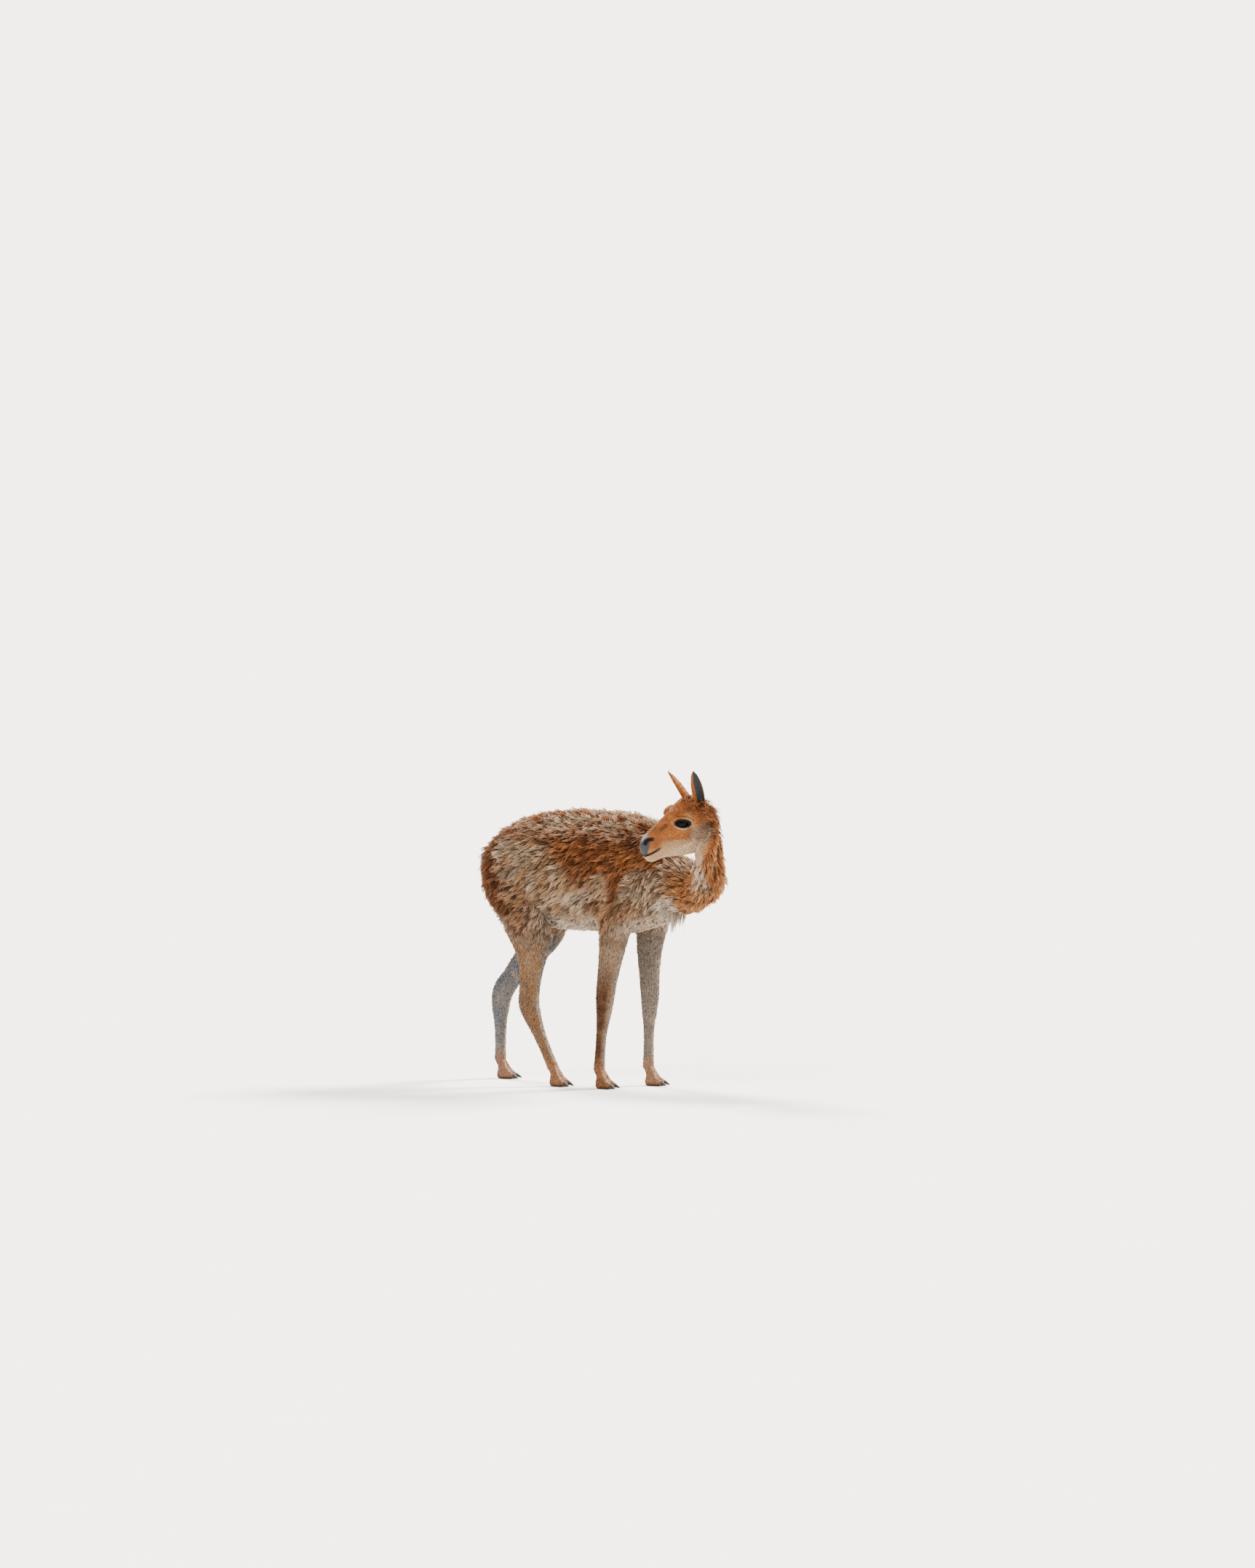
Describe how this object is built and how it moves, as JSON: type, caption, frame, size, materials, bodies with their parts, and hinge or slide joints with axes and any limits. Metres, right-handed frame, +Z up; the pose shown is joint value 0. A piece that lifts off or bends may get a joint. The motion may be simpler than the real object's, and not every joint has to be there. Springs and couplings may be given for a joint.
{
  "type": "vicuna",
  "caption": "Life-size standing vicuna in full fleece, looking back over its right shoulder, as a still museum model.",
  "frame": {"origin": "on the floor, under the middle of the model's outline", "axes": "+Z up, +X the way the body faces, +Y the animal's left"},
  "size_m": [0.9816, 0.4605, 1.0661],
  "materials": {
    "fleece": "dull curled wool, cinnamon over cream",
    "short_fur": "short flat hair, mottled fawn to whitish",
    "face_fur": "short flat hair with a slight sheen",
    "eye": "wet gloss",
    "nail": "dark horn, satin"
  },
  "bodies": {
    "root": {"chest": "fleece", "barrel": "fleece", "rump": "fleece", "neck_base": "fleece", "neck_middle": "fleece", "neck_upper": "fleece", "tail": "fleece", "thigh_left": "fleece", "thigh_right": "fleece", "gaskin_left": "short_fur", "gaskin_right": "short_fur", "hind_cannon_left": "short_fur", "hind_cannon_right": "short_fur", "hind_foot_left": "short_fur", "hind_foot_right": "short_fur", "forearm_left": "short_fur", "forearm_right": "short_fur", "fore_cannon_left": "short_fur", "fore_cannon_right": "short_fur", "fore_foot_left": "short_fur", "fore_foot_right": "short_fur", "head": "face_fur", "ear_left": "face_fur", "ear_right": "face_fur", "eye_left": "eye", "eye_right": "eye", "hind_nail_left_left": "nail", "hind_nail_left_right": "nail", "hind_nail_right_left": "nail", "hind_nail_right_right": "nail", "fore_nail_left_left": "nail", "fore_nail_left_right": "nail", "fore_nail_right_left": "nail", "fore_nail_right_right": "nail"}
  },
  "joints": []
}
